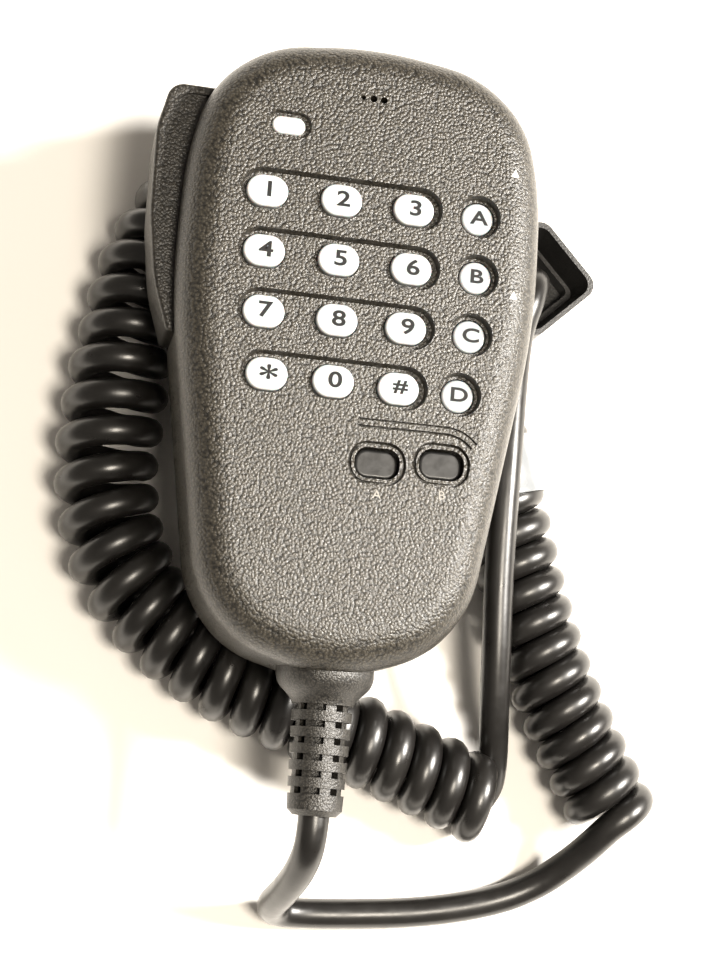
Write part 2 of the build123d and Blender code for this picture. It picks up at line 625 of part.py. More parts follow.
# A torsion spring round the pin, in the gap in the middle of the lever's hub.
with BuildPart() as ptt_spring:
    with BuildSketch(Plane.XY.offset(10.7)):
        with Locations(PTT_PIN):
            Circle(1.9)
            Circle(PTT_PIN_R + 0.1, mode=Mode.SUBTRACT)
    extrude(amount=2.6)
    with Locations((PTT_PIN[0] + 1.5, PTT_PIN[1], 12.9)):
        Box(0.7, 7, 0.7, align=(Align.CENTER, Align.MIN, Align.CENTER))
save(ptt_spring, "ptt_spring")

with BuildPart() as ptt_switch:
    with Locations((-20.2, PTT_SWITCH_Y, BOARD_Z)):
        Box(5.6, 7, 7, align=(Align.CENTER, Align.CENTER, Align.MAX))
    with BuildSketch(Plane.YZ.offset(-23.1)):
        with Locations((PTT_SWITCH_Y, PTT_SWITCH_Z)):
            Circle(1.25)
    extrude(amount=4.2, mode=Mode.SUBTRACT)
save(ptt_switch, "ptt_switch")

with BuildPart() as ptt_plunger:
    with BuildSketch(Plane.YZ.offset(PTT_INNER_X + 0.1)):
        with Locations((PTT_SWITCH_Y, PTT_SWITCH_Z)):
            Circle(1.2)
    extrude(amount=4.0)
    fillet(ptt_plunger.faces().sort_by(Axis.X)[0].edges(), 0.5)
save(ptt_plunger, "ptt_plunger")

# ---------------------------------------------------------------- hang-up button and label
with BuildPart() as hanger_button:
    with BuildSketch(Plane.XY.offset(HANGER_FACE_Z)):
        Circle(HANGER_R)
    extrude(amount=HANGER_T)
    chamfer(hanger_button.faces().sort_by(Axis.Z)[0].edges(), 0.5)
    with BuildSketch(Plane.XY.offset(HANGER_FACE_Z + HANGER_T)):
        Circle(HANGER_NECK_R)
    extrude(amount=BACK_Z - HANGER_FACE_Z - HANGER_T)
    with BuildSketch(Plane.XY.offset(BACK_Z)):
        Circle(1.25)
    extrude(amount=-4.0, mode=Mode.SUBTRACT)
save(hanger_button, "hanger_button")

with BuildPart() as hanger_screw:
    with BuildSketch(Plane.XY.offset(BACK_Z + 6)):
        Circle(2.4)
    extrude(amount=1.6)
    with BuildSketch(Plane.XY.offset(BACK_Z + 6)):
        Circle(1.25)
    extrude(amount=-9.5)
save(hanger_screw, "hanger_screw")

with BuildPart() as rating_label:
    with BuildSketch(Plane.XY.offset(BACK_Z + 0.15)):
        with Locations((0, -32)):
            RectangleRounded(25, 18, 1.2)
    extrude(amount=0.25)
save(rating_label, "rating_label")

# ---------------------------------------------------------------- strain relief
relief_frame = Plane(origin=(RELIEF_X, RELIEF_ROOT_Y, RELIEF_Z), x_dir=(1, 0, 0), z_dir=(0, -1, 0))
bell_len = RELIEF_ROOT_Y - RELIEF_BELL_END_Y
relief_len = RELIEF_ROOT_Y - RELIEF_END_Y
inner_len = 8.0
relief_axis = Axis((RELIEF_X, 0, RELIEF_Z), (0, 1, 0))
half_plane = Plane(relief_frame.origin, x_dir=(1, 0, 0), z_dir=(0, 0, 1))
with BuildPart() as strain_relief:
    with BuildSketch(half_plane):
        with BuildLine():
            Line((0, 2.0), (RELIEF_BELL_R, 2.0))
            Line((RELIEF_BELL_R, 2.0), (RELIEF_BELL_R, -0.6))
            Spline((RELIEF_BELL_R, -0.6), (RELIEF_R_ROOT + 1.2, -bell_len * 0.68),
                   (RELIEF_R_ROOT, -bell_len), tangents=((-0.1, -1), (-0.25, -1)))
            Polyline((RELIEF_R_ROOT, -bell_len), (RELIEF_R_END, -relief_len + 1.0),
                     (RELIEF_R_END - 1.0, -relief_len), (0, -relief_len), (0, 2.0))
        make_face()
    revolve(axis=relief_axis)
    add(front_block, mode=Mode.SUBTRACT)
    add(rear_block, mode=Mode.SUBTRACT)
    with BuildSketch(half_plane):
        with BuildLine():
            Polyline((0, inner_len), (3.4, inner_len), (3.4, 5.0), (RELIEF_NECK_R + 1.2, 5.0),
                     (RELIEF_NECK_R + 1.2, 2.6), (RELIEF_NECK_R, 2.6), (RELIEF_NECK_R, -1.0),
                     (0, -1.0), close=True)
        make_face()
    revolve(axis=relief_axis)
    for row in range(RELIEF_ROWS):
        along = bell_len + RELIEF_SLOT / 2 + row * RELIEF_PITCH
        with BuildSketch(relief_frame.offset(along)):
            Circle(RELIEF_BELL_R)
            Circle(RELIEF_R_END - 0.35, mode=Mode.SUBTRACT)
            with PolarLocations(RELIEF_R_END - 0.8, RELIEF_WINDOWS, start_angle=22.5 - 12):
                Rectangle(2.4, 1.5)
        extrude(amount=RELIEF_SLOT / 2, both=True, mode=Mode.SUBTRACT)
save(strain_relief, "strain_relief")

with BuildPart() as cable_clamp:
    with BuildSketch(Plane.XZ.offset(58.6)):
        with Locations((RELIEF_X, RELIEF_Z)):
            Circle(4.8)
            Rectangle(13, 2.6)
            Circle(3.4, mode=Mode.SUBTRACT)
    extrude(amount=-2.6)
save(cable_clamp, "cable_clamp")

box_group("lead_connector", [(RELIEF_X, -45.5)], (8.0, 4.0, 3.4), BOARD_Z - 3.4)

with BuildPart() as inner_leads:
    for lead_x in (-2.4, -1.2, 0, 1.2, 2.4):
        start = Vector(RELIEF_X + lead_x * 0.8, RELIEF_ROOT_Y + inner_len + 0.2, RELIEF_Z)
        end = Vector(RELIEF_X + lead_x, -47.7, BOARD_Z - 1.7)
        with BuildSketch(Plane(origin=start, z_dir=end - start)):
            Circle(0.45)
        extrude(amount=(end - start).length)
save(inner_leads, "inner_leads")

# ---------------------------------------------------------------- cord
coil_points = [(x, y, COIL_Z) for x, y in COIL_ROUTE]
cord_coil = tube(coil_points, COIL_R, "cord_coil")
cord_lead = tube(LEAD_ROUTE, CORD_R, "cord_lead")
cord_tail = tube(TAIL_ROUTE, CORD_R, "cord_tail")
for solid, label in ((cord_coil, "cord_coil"), (cord_lead, "cord_lead"), (cord_tail, "cord_tail")):
    solid.label = label
    export_step(solid, f"parts/{label}.step")

band_dir = Vector(*coil_points[3]) - Vector(*coil_points[4])
with BuildPart() as cord_band:
    with BuildSketch(Plane(origin=(*BAND_AT, COIL_Z), z_dir=band_dir).offset(-BAND_L / 2)):
        Circle(COIL_R + BAND_GAP + BAND_T)
        Circle(COIL_R + BAND_GAP, mode=Mode.SUBTRACT)
    extrude(amount=BAND_L)
    split(bisect_by=Plane.XY.offset(FLOOR_Z), keep=Keep.TOP)
save(cord_band, "cord_band")

# ---------------------------------------------------------------- plug
plug_frame = Plane(origin=(*PLUG_AT, 0), x_dir=Vector(1, 0, 0).rotate(Axis.Z, PLUG_TURN))
with BuildPart() as plug_boot:
    with BuildSketch(plug_frame.offset(BOOT_LOW_Z)):
        RectangleRounded(BOOT_SIDE, BOOT_SIDE, BOOT_R)
    extrude(amount=BOOT_RIM_Z - BOOT_LOW_Z)
    rim_side = BOOT_SIDE - 2 * BOOT_RIM_T
    ledge_side = BOOT_SIDE - 2 * BOOT_LEDGE_INSET
    ridge_side = ledge_side - 2 * BOOT_RIDGE_W
    with BuildSketch(plug_frame.offset(BOOT_RIM_Z)):
        RectangleRounded(rim_side, rim_side, BOOT_R - 0.4)
    with BuildSketch(plug_frame.offset(BOOT_LEDGE_Z)):
        RectangleRounded(ledge_side, ledge_side, BOOT_R - 1.0)
    loft(mode=Mode.SUBTRACT)
    with BuildSketch(plug_frame.offset(BOOT_LEDGE_Z)):
        RectangleRounded(ledge_side - 1.0, ledge_side - 1.0, BOOT_R - 1.3)
    extrude(amount=BOOT_RIDGE_H)
    with BuildSketch(plug_frame.offset(BOOT_FLOOR_Z)):
        RectangleRounded(ridge_side, ridge_side, BOOT_R - 1.7)
    extrude(amount=BOOT_RIM_Z - BOOT_FLOOR_Z, mode=Mode.SUBTRACT)
    with BuildSketch(plug_frame.offset(BOOT_FLOOR_Z)):
        Circle(BOOT_COLLAR_R)
    extrude(amount=TAIL_ROUTE[-1][2] - BOOT_FLOOR_Z)
    with BuildSketch(plug_frame.offset(BOOT_LOW_Z)):
        Rectangle(MODULAR_W, MODULAR_H)
    extrude(amount=1.2, mode=Mode.SUBTRACT)
save(plug_boot, "plug_boot")

CONTACT_X = [-2.55, -1.53, -0.51, 0.51, 1.53, 2.55]
with BuildPart() as modular_plug:
    with BuildSketch(plug_frame.offset(FLOOR_Z)):
        Rectangle(MODULAR_W, MODULAR_H)
        with Locations(*[(x, MODULAR_H / 2) for x in CONTACT_X]):
            Rectangle(0.6, 1.4, mode=Mode.SUBTRACT)
    extrude(amount=BOOT_LOW_Z + 1.2 - FLOOR_Z)
save(modular_plug, "modular_plug")

with BuildPart() as plug_contacts:
    with BuildSketch(plug_frame.offset(FLOOR_Z + 0.3)):
        with Locations(*[(x, MODULAR_H / 2 - 0.35) for x in CONTACT_X]):
            Rectangle(0.4, 0.5)
    extrude(amount=2.6)
save(plug_contacts, "plug_contacts")
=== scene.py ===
"""Keypad hand microphone: cord, legends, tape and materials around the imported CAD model."""
import json
from math import cos, exp, pi, sin

import bpy
from mathutils import Matrix, Vector
from mathutils.bvhtree import BVHTree

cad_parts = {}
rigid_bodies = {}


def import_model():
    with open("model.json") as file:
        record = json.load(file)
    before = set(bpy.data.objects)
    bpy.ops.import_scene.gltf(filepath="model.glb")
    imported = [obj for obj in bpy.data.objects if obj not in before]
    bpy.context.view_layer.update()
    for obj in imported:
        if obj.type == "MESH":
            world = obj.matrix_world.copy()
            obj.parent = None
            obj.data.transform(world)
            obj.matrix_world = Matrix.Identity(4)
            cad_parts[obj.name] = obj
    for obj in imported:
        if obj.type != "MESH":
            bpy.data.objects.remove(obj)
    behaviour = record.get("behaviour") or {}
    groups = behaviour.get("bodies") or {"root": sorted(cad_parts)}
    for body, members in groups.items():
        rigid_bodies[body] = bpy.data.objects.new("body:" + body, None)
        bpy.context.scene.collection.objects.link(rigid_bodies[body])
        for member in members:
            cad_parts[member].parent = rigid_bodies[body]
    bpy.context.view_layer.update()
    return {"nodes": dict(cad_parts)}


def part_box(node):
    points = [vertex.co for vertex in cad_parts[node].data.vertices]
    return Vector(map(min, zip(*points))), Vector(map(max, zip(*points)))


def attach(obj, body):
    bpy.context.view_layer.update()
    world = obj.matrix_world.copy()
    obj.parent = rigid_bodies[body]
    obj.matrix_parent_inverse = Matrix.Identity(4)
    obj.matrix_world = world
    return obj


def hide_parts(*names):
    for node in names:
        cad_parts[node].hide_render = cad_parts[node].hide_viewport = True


for leftover in list(bpy.data.objects):
    bpy.data.objects.remove(leftover)
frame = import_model()
nodes = frame["nodes"]
scene = bpy.context.scene
MM = 0.001

# ---------------------------------------------------------------- camera
TILT_X, TILT_Y, ROLL = -0.174533, 0.174533, -0.10729
SCALE = 0.96
LENS_OFFSET = Vector((-1.60826, 21.63236, -320.0)) * SCALE
FACE_CENTRE = Vector((1.248, 12.0, -27.0))
FOCAL_PX = 1846.363
SENSOR = 36.0

turn = Matrix.Rotation(ROLL, 3, "Z") @ Matrix.Rotation(TILT_Y, 3, "Y") @ Matrix.Rotation(TILT_X, 3, "X")
shift = turn @ FACE_CENTRE + LENS_OFFSET
camera_data = bpy.data.cameras.new("camera")
camera = bpy.data.objects.new("camera", camera_data)
scene.collection.objects.link(camera)
camera.matrix_world = turn.transposed().to_4x4()
camera.location = -(turn.transposed() @ shift) * MM
camera_data.sensor_fit = "VERTICAL"
camera_data.sensor_height = SENSOR
camera_data.lens = FOCAL_PX * SENSOR / 960
camera_data.clip_start = 0.01
scene.camera = camera
scene.view_settings.view_transform = "Standard"
scene.view_settings.look = "None"


# ---------------------------------------------------------------- node helpers
class Shader:
    """Builds one procedural material around a Principled shader."""

    def __init__(self, name, color, roughness, **sockets):
        self.material = bpy.data.materials.new(name)
        self.material.use_nodes = True
        self.tree = self.material.node_tree
        self.bsdf = self.tree.nodes["Principled BSDF"]
        self.bsdf.inputs["Base Color"].default_value = (*color, 1)
        self.bsdf.inputs["Roughness"].default_value = roughness
        for socket, value in sockets.items():
            self.bsdf.inputs[socket.replace("_", " ")].default_value = value
        self.coord = self.tree.nodes.new("ShaderNodeTexCoord").outputs["Object"]
        self.normal = None

    def link(self, source, target):
        self.tree.links.new(source, target)

    def noise(self, scale, detail=2.0, rough=0.5):
        node = self.tree.nodes.new("ShaderNodeTexNoise")
        node.inputs["Scale"].default_value = scale
        node.inputs["Detail"].default_value = detail
        node.inputs["Roughness"].default_value = rough
        self.link(self.coord, node.inputs["Vector"])
        return node.outputs["Fac"]

    def warped(self, scale, amount):
        """Object coordinates pushed about by noise, in metres."""
        node = self.tree.nodes.new("ShaderNodeTexNoise")
        node.inputs["Scale"].default_value = scale
        self.link(self.coord, node.inputs["Vector"])
        mix = self.tree.nodes.new("ShaderNodeVectorMath")
        mix.operation = "MULTIPLY_ADD"
        self.link(node.outputs["Color"], mix.inputs[0])
        mix.inputs[1].default_value = (amount, amount, amount)
        self.link(self.coord, mix.inputs[2])
        return mix.outputs["Vector"]

    def cells(self, scale, vector):
        """Distance to the nearest cell centre, in cells."""
        node = self.tree.nodes.new("ShaderNodeTexVoronoi")
        node.feature = "SMOOTH_F1"
        node.inputs["Scale"].default_value = scale
        node.inputs["Smoothness"].default_value = 0.25
        self.link(vector, node.inputs["Vector"])
        return node.outputs["Distance"]

    def remap(self, value, low, high, to_low, to_high):
        node = self.tree.nodes.new("ShaderNodeMapRange")
        self.link(value, node.inputs["Value"])
        for socket, number in zip(("From Min", "From Max", "To Min", "To Max"), (low, high, to_low, to_high)):
            node.inputs[socket].default_value = number
        return node.outputs["Result"]

    def math(self, operation, a, b):
        node = self.tree.nodes.new("ShaderNodeMath")
        node.operation = operation
        for socket, value in zip(node.inputs, (a, b)):
            if isinstance(value, (int, float)):
                socket.default_value = value
            else:
                self.link(value, socket)
        return node.outputs[0]

    def bump(self, height, distance, strength=1.0):
        """Adds a layer of relief; distance is its depth in metres."""
        node = self.tree.nodes.new("ShaderNodeBump")
        node.inputs["Distance"].default_value = distance
        if isinstance(strength, (int, float)):
            node.inputs["Strength"].default_value = strength
        else:
            self.link(strength, node.inputs["Strength"])
        self.link(height, node.inputs["Height"])
        if self.normal:
            self.link(self.normal, node.inputs["Normal"])
        self.normal = node.outputs["Normal"]
        self.link(self.normal, self.bsdf.inputs["Normal"])

    def roughness(self, value, low, high):
        self.link(self.remap(value, 0.3, 0.7, low, high), self.bsdf.inputs["Roughness"])

    def color(self, value, low, high, start=0.3, end=0.7):
        ramp = self.tree.nodes.new("ShaderNodeValToRGB")
        ramp.color_ramp.elements[0].position = start
        ramp.color_ramp.elements[0].color = (*low, 1)
        ramp.color_ramp.elements[1].position = end
        ramp.color_ramp.elements[1].color = (*high, 1)
        self.link(value, ramp.inputs["Fac"])
        self.link(ramp.outputs["Color"], self.bsdf.inputs["Base Color"])

    def upward(self):
        """1 on faces that look up or down, 0 on the sides."""
        node = self.tree.nodes.new("ShaderNodeNewGeometry")
        split = self.tree.nodes.new("ShaderNodeSeparateXYZ")
        self.link(node.outputs["Normal"], split.inputs["Vector"])
        flat = self.math("ABSOLUTE", split.outputs["Z"], 0.0)
        return self.remap(flat, 0.55, 0.97, 0.0, 1.0)


def pebbled(name, low, high, grain, depth, rough):
    """Moulded plastic with a pebble grain of this size in metres, smoother on rounded edges; the pebble tops
    carry a painted highlight and the hollows between them painted shade.
    """
    shader = Shader(name, low, rough[0], Specular_IOR_Level=0.55)
    vector = shader.warped(0.7 / grain, grain * 0.55)
    pebbles = shader.cells(0.85 / grain, vector)
    flat = shader.upward()
    shader.bump(shader.noise(40, 3.0), 0.00004)
    shader.bump(pebbles, -depth, shader.remap(flat, 0.0, 1.0, 0.45, 1.0))
    shader.bump(shader.noise(3.2 / grain, 3.0, 0.6), depth * 0.42)
    shader.roughness(shader.noise(1.4 / grain, 3.0), *rough)
    # Painted highlight and painted shade: the second colour is painted on the raised pebble tops and the base
    # colour in the hollows between them.
    shader.color(pebbles, high, low, 0.15, 0.75)
    return shader.material


def moulded(name, low, high, rough, scale=900, depth=0.00001, **sockets):
    """Smooth moulded surface with faint mottling."""
    shader = Shader(name, low, rough[0], **sockets)
    shader.color(shader.noise(scale * 0.12, 4.0), low, high)
    shader.roughness(shader.noise(scale * 0.3, 4.0), *rough)
    shader.bump(shader.noise(scale, 3.0), depth)
    return shader.material


def metal(name, color, rough):
    """Bare metal with fine turning marks."""
    shader = Shader(name, color, rough, Metallic=1.0)
    shader.roughness(shader.noise(300, 4.0), rough * 0.8, rough * 1.3)
    shader.bump(shader.noise(1500, 2.0), 0.000008)
    return shader.material


# The second colour of each pebbled plastic is the painted highlight laid on its pebble tops.
case_plastic = pebbled("case_plastic", (0.006, 0.0053, 0.004), (0.045, 0.039, 0.029), 0.00044,
                       0.00014, (0.24, 0.4))
side_plastic = pebbled("side_key_plastic", (0.006, 0.0053, 0.0042), (0.03, 0.026, 0.02), 0.0004,
                       0.00009, (0.3, 0.46))
relief_rubber = pebbled("soft_rubber", (0.006, 0.0056, 0.005), (0.036, 0.033, 0.028), 0.0003,
                        0.00009, (0.32, 0.48))
boot_rubber = pebbled("boot_rubber", (0.010, 0.0098, 0.0095), (0.022, 0.021, 0.02), 0.0003,
                      0.00003, (0.32, 0.48))
button_rubber = moulded("button_rubber", (0.007, 0.007, 0.007), (0.012, 0.0118, 0.0115),
                        (0.3, 0.42), 1800, 0.000008)
white_key = moulded("key_white", (0.36, 0.38, 0.385), (0.42, 0.435, 0.435), (0.16, 0.26), 500,
                    0.00001, Coat_Weight=0.5, Coat_Roughness=0.08, Subsurface_Weight=0.25,
                    Subsurface_Scale=0.0012)
grey_key = moulded("key_grey", (0.29, 0.31, 0.32), (0.34, 0.36, 0.37), (0.16, 0.26), 500,
                   0.00001, Coat_Weight=0.5, Coat_Roughness=0.08, Subsurface_Weight=0.25,
                   Subsurface_Scale=0.0012)
lens_plastic = moulded("clear_plastic", (0.36, 0.38, 0.385), (0.46, 0.46, 0.43), (0.14, 0.22), 300, 0.00001,
                       Coat_Weight=0.6, Coat_Roughness=0.06, Subsurface_Weight=0.3, Subsurface_Scale=0.001)
cord_rubber = moulded("cord_jacket", (0.005, 0.0045, 0.0042), (0.009, 0.0083, 0.0075),
                      (0.27, 0.38), 1100, 0.000012, Specular_IOR_Level=0.55)
tape_film = moulded("tape", (0.13, 0.14, 0.15), (0.22, 0.23, 0.24), (0.16, 0.28), 500, 0.00003,
                    Coat_Weight=0.4, Coat_Roughness=0.12)
ink_black = moulded("ink_black", (0.004, 0.004, 0.004), (0.007, 0.007, 0.007), (0.6, 0.7), 1500, 0.000004,
                    Specular_IOR_Level=0.25)
ink_white = moulded("ink_white", (0.4, 0.385, 0.35), (0.5, 0.48, 0.44), (0.5, 0.6), 3000, 0.000004)
ink_grey = moulded("ink_grey", (0.16, 0.15, 0.135), (0.24, 0.225, 0.2), (0.5, 0.6), 3000, 0.000004)
slot_looks = {
    "case_plastic": case_plastic,
    "side_key_plastic": side_plastic,
    "soft_rubber": relief_rubber,
    "button_rubber": button_rubber,
    "key_white": white_key,
    "key_grey": grey_key,
    "clear_plastic": lens_plastic,
    "cord_jacket": cord_rubber,
    "tape": tape_film,
    "plug_plastic": moulded("plug_plastic", (0.6, 0.63, 0.64), (0.7, 0.73, 0.74), (0.1, 0.2), 400, 0.00001,
                            Transmission_Weight=0.6),
    "gold_contact": metal("gold_contact", (0.85, 0.62, 0.26), 0.25),
    "steel": metal("steel", (0.55, 0.55, 0.56), 0.32),
    "hanger_metal": metal("hanger_metal", (0.62, 0.61, 0.6), 0.26),
    "capsule_metal": metal("capsule_metal", (0.6, 0.61, 0.62), 0.38),
    "board_green": moulded("board_green", (0.01, 0.09, 0.03), (0.02, 0.14, 0.05), (0.25, 0.4), 700, 0.00002),
    "component_black": moulded("component_black", (0.012, 0.012, 0.012), (0.02, 0.02, 0.02),
                               (0.4, 0.6), 2500),
    "component_tan": moulded("component_tan", (0.3, 0.2, 0.11), (0.4, 0.29, 0.17), (0.45, 0.6), 2500),
    "led_yellow": moulded("led_yellow", (0.6, 0.55, 0.25), (0.7, 0.65, 0.35), (0.2, 0.3), 900),
    "felt_black": moulded("felt_black", (0.008, 0.008, 0.008), (0.02, 0.02, 0.02), (0.85, 0.95),
                          6000, 0.00005, Sheen_Weight=0.3),
    "switch_body": moulded("switch_body", (0.012, 0.012, 0.013), (0.022, 0.022, 0.024), (0.3, 0.45), 1500),
    "label_silver": moulded("label_silver", (0.42, 0.42, 0.42), (0.5, 0.5, 0.5), (0.3, 0.42), 1200, 0.000006,
                            Metallic=0.6),
    "lead_wire": moulded("lead_wire", (0.3, 0.03, 0.02), (0.4, 0.05, 0.03), (0.3, 0.4), 900),
}
for name, node in nodes.items():
    for place, old in enumerate(node.data.materials):
        node.material_slots[place].material = slot_looks[old.name.split(".")[0]]
nodes["plug_boot"].material_slots[0].material = boot_rubber


# ---------------------------------------------------------------- cord
CORD_R = 2.68
FLOOR_Z = -16.6
COIL_Z = -8.45
LEAD_Z = -13.9
COIL_ROUTE = [
    (59.2, -81.9), (49.6, -66.4), (42.2, -49.5), (36.4, -30.9), (31.4, -15.4), (24.6, -3.0),
    (17.6, 9.0), (10.4, 21.6), (-1.5, 29.6), (-16.5, 29.8), (-28.4, 22.6), (-34.4, 9.6),
    (-36.7, -5.0), (-38.3, -20.5), (-38.2, -34.0), (-34.4, -46.6), (-26.2, -56.6),
    (-13.6, -65.0), (1.6, -70.4), (18.4, -76.4), (37.6, -84.2),
]
LEAD_ROUTE = [
    (0.8, -87.6, 14.0), (0.8, -92.2, 14.0), (0.2, -97.0, 8.6), (-1.0, -101.0, 0.6),
    (-2.1, -103.8, -7.4), (-0.6, -105.2, -12.4), (4.4, -105.4, LEAD_Z), (12.4, -105.0, LEAD_Z),
    (26.4, -103.9, LEAD_Z), (39.6, -101.2, LEAD_Z), (47.6, -97.6, -13.0), (52.4, -93.4, -10.2),
    (55.4, -89.8, -6.6), (58.2, -86.0, -3.7),
]
TAIL_ROUTE = [
    (37.5, -79.4, -11.9), (36.8, -75.4, -8.2), (35.6, -69.6, -4.4), (34.5, -62.4, -1.4), (33.7, -53.6, 0.8),
    (33.1, -43.8, 1.9), (32.8, -33.0, 3.1), (32.8, -22.6, 3.7), (33.1, -12.8, 3.0),
    (33.5, -4.4, 2.2), (34.0, 3.0, 2.2), (35.9, 9.2, 2.7), (37.75, 14.0, -1.2),
    (37.75, 14.0, -7.0),
]
HELIX_R, HELIX_SWELL = 5.46, 1.25
PITCH, PITCH_SWELL = 5.55, 1.2
SWELL_AT, SWELL_WIDTH = 205.0, 42.0
POINTS_PER_TURN = 14
HELIX_START, HELIX_END = 90, 300


def spline_curve(name, points, radius=0.0):
    """A curve object of one open NURBS spline through these control points, in millimetres."""
    curve = bpy.data.curves.new(name, "CURVE")
    curve.dimensions = "3D"
    spline = curve.splines.new("NURBS")
    spline.points.add(len(points) - 1)
    for point, place in zip(spline.points, points):
        point.co = (*(Vector(place) * MM), 1)
    spline.order_u = 3
    spline.use_endpoint_u = True
    curve.bevel_depth = radius * MM
    curve.bevel_resolution = 6
    curve.resolution_u = 7
    made = bpy.data.objects.new(name, curve)
    scene.collection.objects.link(made)
    return made


def read_route(points):
    """The points of a route's NURBS spline, in millimetres, from its unbevelled curve."""
    guide = spline_curve("guide", points)
    guide.data.resolution_u = 24
    line = bpy.data.meshes.new_from_object(guide)
    read = [vertex.co / MM for vertex in line.vertices]
    bpy.data.objects.remove(guide)
    return read


coil_line = read_route([(x, y, COIL_Z) for x, y in COIL_ROUTE])
coil_line.insert(0, coil_line[0] - (coil_line[1] - coil_line[0]).normalized() * 2.5)
reach = [0.0]
for before, after in zip(coil_line, coil_line[1:]):
    reach.append(reach[-1] + (after - before).length)


def along(distance):
    """Place and direction on the coil's line at this distance from its start."""
    here = min(max(distance, 0.0), reach[-1] - 0.001)
    index = max(i for i, start in enumerate(reach) if start <= here)
    step = coil_line[index + 1] - coil_line[index]
    low, high = max(index - 12, 0), min(index + 13, len(coil_line) - 1)
    heading = (coil_line[high] - coil_line[low]).normalized()
    return coil_line[index] + step * ((here - reach[index]) / step.length), heading


def swell(distance):
    """1 where the coil is slackest, 0 where its turns are closed."""
    return exp(-(((distance - SWELL_AT) / SWELL_WIDTH) ** 2))


def helix(pitch_factor):
    """Control points of the coiled stretch, and how many turns it makes."""
    points, distance, step = [], 0.0, 0
    last = reach[-1] - 1.5
    while distance < last:
        angle = (HELIX_START + 360.0 * step / POINTS_PER_TURN) * pi / 180
        centre, heading = along(distance)
        unrest = 0.1 * sin(0.71 * angle / pi + 1.3) + 0.07 * sin(1.93 * angle / pi)
        radius = HELIX_R + HELIX_SWELL * swell(distance) + unrest * swell(distance)
        side = Vector((0, 0, 1)).cross(heading)
        up = FLOOR_Z + CORD_R + radius - centre.z
        control = radius / 0.9665
        turned = cos(angle) * side + sin(angle) * Vector((0, 0, 1))
        points.append(centre + Vector((0, 0, up + 0.05)) + control * turned)
        distance += (PITCH + PITCH_SWELL * swell(distance)) * pitch_factor / POINTS_PER_TURN
        step += 1
    return points, step / POINTS_PER_TURN


raw_turns = helix(1.0)[1]
share = (HELIX_END - HELIX_START) / 360
coil_points = helix(raw_turns / (round(raw_turns - share) + share))[0]
cord = spline_curve("cord", LEAD_ROUTE + coil_points + TAIL_ROUTE, CORD_R)
cord.data.materials.append(cord_rubber)
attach(cord, "handset")
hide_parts("cord_lead", "cord_coil", "cord_tail")


# ---------------------------------------------------------------- mesh helper
def mesh_piece(name, vertices, faces, material, body):
    """A mesh object in millimetres that rides on a body."""
    mesh = bpy.data.meshes.new(name)
    mesh.from_pydata([tuple(Vector(v) * MM) for v in vertices], [], faces)
    mesh.validate()
    for polygon in mesh.polygons:
        polygon.use_smooth = True
    mesh.materials.append(material)
    made = bpy.data.objects.new(name, mesh)
    scene.collection.objects.link(made)
    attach(made, body)
    return made


# ---------------------------------------------------------------- tape round the coil
BAND_AT = 62.0
BAND_LENGTH = 10.6
BAND_OUTER_R, BAND_INNER_R, BAND_RIPPLE = 8.42, 8.27, 0.1
BAND_RINGS, BAND_SIDES = 26, 72


def band_ring(distance, radius):
    """One ring round the coil, flattened where it rests on the floor."""
    centre, heading = along(distance)
    side = Vector((0, 0, 1)).cross(heading)
    ring = []
    for index in range(BAND_SIDES):
        angle = 2 * pi * index / BAND_SIDES
        place = centre + radius * (cos(angle) * side + sin(angle) * Vector((0, 0, 1)))
        place.z = max(place.z, FLOOR_Z + 0.02)
        ring.append(place)
    return ring


band_rings = []
for radius, rows in ((BAND_OUTER_R, range(BAND_RINGS + 1)), (BAND_INNER_R, range(BAND_RINGS, -1, -1))):
    for row in rows:
        run = BAND_LENGTH * row / BAND_RINGS
        ripple = BAND_RIPPLE * cos(2 * pi * run / PITCH)
        band_rings.append(band_ring(BAND_AT + run, radius + ripple))
band_vertices = [place for ring in band_rings for place in ring]
ring_count = len(band_rings)
band_faces = []
for row in range(ring_count):
    for index in range(BAND_SIDES):
        after = (index + 1) % BAND_SIDES
        below = (row + 1) % ring_count
        band_faces.append((row * BAND_SIDES + index, row * BAND_SIDES + after,
                           below * BAND_SIDES + after, below * BAND_SIDES + index))
band = mesh_piece("tape_band", band_vertices, band_faces, tape_film, "handset")
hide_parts("cord_band")


# ---------------------------------------------------------------- legends
def legend(name, text, centre, size, bold, material, body, wide):
    """A printed character as a thin raised mesh, centred at a point."""
    curve = bpy.data.curves.new(name, "FONT")
    curve.body = text
    curve.size = size
    curve.align_x = "CENTER"
    curve.align_y = "CENTER"
    curve.offset = bold
    curve.extrude = 0.008
    curve.resolution_u = 6
    writing = bpy.data.objects.new(name, curve)
    scene.collection.objects.link(writing)
    mesh = bpy.data.meshes.new_from_object(writing)
    bpy.data.objects.remove(writing)
    low = [min(v.co[i] for v in mesh.vertices) for i in range(2)]
    high = [max(v.co[i] for v in mesh.vertices) for i in range(2)]
    middle = Vector(((low[0] + high[0]) / 2, (low[1] + high[1]) / 2, 0))
    place = Matrix.Translation(centre) @ Matrix.Diagonal((wide, 1, 1, 1))
    mesh.transform(Matrix.Scale(MM, 4) @ place @ Matrix.Translation(-middle))
    mesh.materials.clear()
    mesh.materials.append(material)
    made = bpy.data.objects.new(name, mesh)
    scene.collection.objects.link(made)
    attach(made, body)
    return made


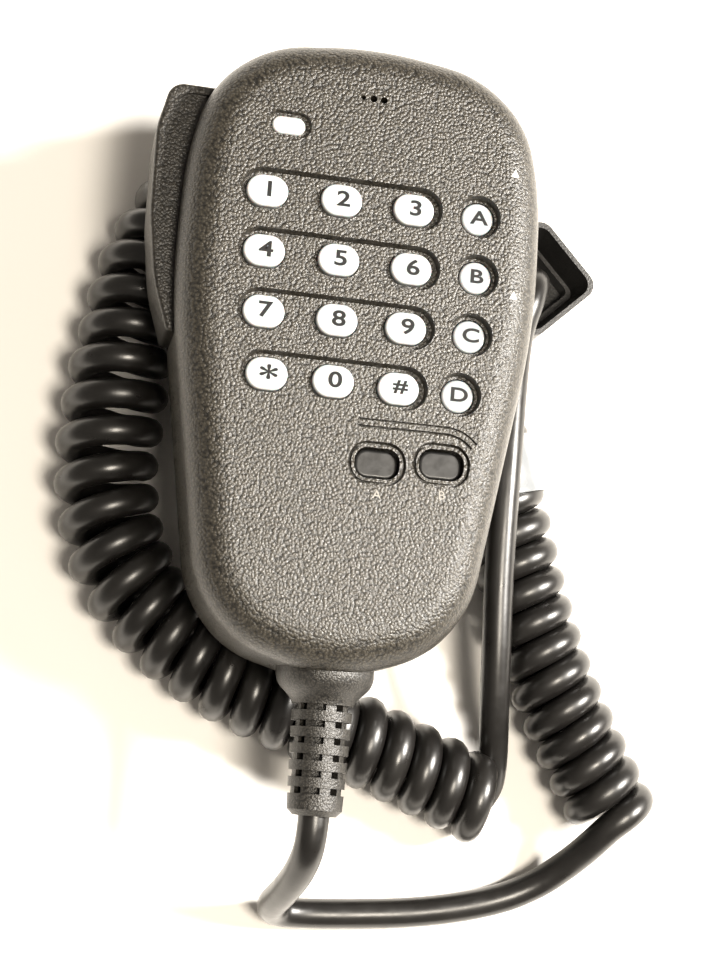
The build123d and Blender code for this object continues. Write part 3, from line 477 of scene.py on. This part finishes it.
LEGEND_SHIFT, LEGEND_LIFT = 0.3, 0.004
LEGEND_BOLD, LEGEND_WIDE = 0.085, 1.32
KEY_LEGENDS = {f"key_{digit}": digit for digit in "0123456789"}
KEY_LEGENDS.update({"key_star": "*", "key_hash": "#", "key_a": "A", "key_b": "B", "key_c": "C", "key_d": "D"})
for node_name, text in KEY_LEGENDS.items():
    low, high = (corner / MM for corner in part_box(node_name))
    middle_x, middle_y = (low.x + high.x) / 2, (low.y + high.y) / 2
    centre = Vector((middle_x + LEGEND_SHIFT, middle_y + LEGEND_SHIFT, high.z + LEGEND_LIFT))
    size = {"*": 5.4, "#": 3.1}.get(text, 3.35 if text in "ABCD" else 3.7)
    legend(f"legend_{node_name[4:]}", text, centre, size, LEGEND_BOLD, ink_black,
           node_name, LEGEND_WIDE)

# ---------------------------------------------------------------- small printed marks on the case
cover = nodes["front_cover"]
cover_tree = BVHTree.FromPolygons([v.co.copy() for v in cover.data.vertices],
                                  [tuple(p.vertices) for p in cover.data.polygons])


def on_cover(x, y, lift=0.015):
    """The point on the front cover above x and y, in millimetres, lifted off by a little."""
    hit, normal, _, _ = cover_tree.ray_cast(Vector((x, y, 60)) * MM, Vector((0, 0, -1)))
    return hit / MM + normal * lift


def triangle_mark(name, x, y, size):
    """A small printed triangle that points to the head, laid on the curved face."""
    steps = 6
    vertices, faces, rows = [], [], []
    for row in range(steps + 1):
        share = row / steps
        half = size * 0.5 * (1 - share)
        count = steps - row + 1
        rows.append(len(vertices))
        for column in range(count):
            across = -half + 2 * half * column / max(count - 1, 1)
            vertices.append(on_cover(x + across, y + size * share))
    for row in range(steps):
        count = steps - row + 1
        for column in range(count - 1):
            a, b = rows[row] + column, rows[row] + column + 1
            c = rows[row + 1] + column
            faces.append((a, b, c))
            if column < count - 2:
                faces.append((b, rows[row + 1] + column + 1, c))
    return mesh_piece(name, vertices, faces, ink_white, "handset")


triangle_mark("mark_lock", 25.0, 22.7, 1.5)
triangle_mark("mark_lamp", 26.0, 1.1, 1.5)
for letter, (x, y) in {"A": (4.9, -34.9), "B": (15.9, -33.9)}.items():
    legend(f"mark_button_{letter.lower()}", letter, on_cover(x, y, 0.01), 2.0, 0.0, ink_grey,
           "handset", 1.1)

# ---------------------------------------------------------------- floor and lights
floor_mesh = bpy.data.meshes.new("floor")
half = 1.6
floor_z = FLOOR_Z * MM - 0.00005
corners = [(-half, -half), (half, -half), (half, half), (-half, half)]
floor_mesh.from_pydata([(x, y, floor_z) for x, y in corners], [], [(0, 1, 2, 3)])
floor = bpy.data.objects.new("floor", floor_mesh)
scene.collection.objects.link(floor)
floor_look = Shader("floor", (0.86, 0.84, 0.8), 0.7)
floor_look.color(floor_look.noise(9, 3.0), (0.85, 0.83, 0.79), (0.88, 0.86, 0.83))
floor_look.bump(floor_look.noise(900, 3.0), 0.00003)
floor_mesh.materials.append(floor_look.material)

world = bpy.data.worlds.new("studio")
world.use_nodes = True
world.node_tree.nodes["Background"].inputs["Color"].default_value = (1.0, 0.9, 0.78, 1)
world.node_tree.nodes["Background"].inputs["Strength"].default_value = 0.3
scene.world = world


def area_light(name, place, target, size, power, color):
    """A soft rectangular light at a place, aimed at a target, both in metres."""
    data = bpy.data.lights.new(name, "AREA")
    data.shape = "RECTANGLE"
    data.size, data.size_y = size
    data.energy = power
    data.color = color
    made = bpy.data.objects.new(name, data)
    scene.collection.objects.link(made)
    made.location = place
    made.rotation_euler = (Vector(target) - Vector(place)).to_track_quat("-Z", "Y").to_euler()


area_light("key_light", (0.62, 0.1, 0.62), (0.02, -0.02, 0), (0.2, 0.2), 30, (1.0, 0.95, 0.88))
area_light("face_light", (0.11, -0.16, 0.68), (0.01, -0.04, 0), (0.18, 0.18), 5.5, (1.0, 0.91, 0.78))
